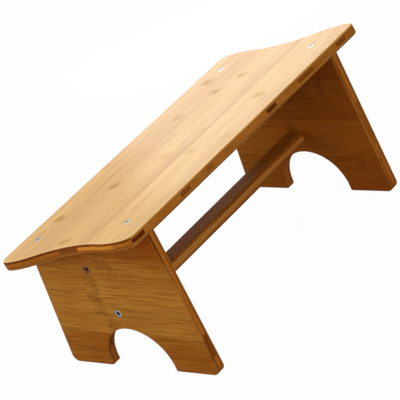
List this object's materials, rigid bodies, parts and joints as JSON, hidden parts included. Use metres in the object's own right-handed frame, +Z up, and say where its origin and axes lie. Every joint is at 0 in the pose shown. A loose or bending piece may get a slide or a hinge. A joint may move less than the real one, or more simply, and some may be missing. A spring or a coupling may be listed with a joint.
{
  "type": "footstool",
  "caption": "Low bamboo footstool: a sloping tread board with hollowed ends, screwed to arched end panels that are tied by rails.",
  "frame": {"origin": "on the floor, under the middle of the stool's bounding box", "axes": "+X along the board to the right hand of someone facing the low side, +Y from the low side to the high side, +Z up"},
  "size_m": [0.417, 0.2172, 0.1945],
  "materials": {
    "bamboo_board": "satin lacquer",
    "bamboo_panel": "satin lacquer",
    "bamboo_rail": "satin lacquer",
    "zinc_screw": "zinc plated"
  },
  "bodies": {
    "root": {"top_board": "bamboo_board", "right_leg": "bamboo_panel", "left_leg": "bamboo_panel", "lower_rail": "bamboo_rail", "upper_rail": "bamboo_rail", "top_screw_right_front": "zinc_screw", "top_screw_right_back": "zinc_screw", "top_screw_left_front": "zinc_screw", "top_screw_left_back": "zinc_screw", "lower_rail_screw_right": "zinc_screw", "lower_rail_screw_left": "zinc_screw", "upper_rail_screw_right": "zinc_screw", "upper_rail_screw_left": "zinc_screw"}
  },
  "joints": []
}
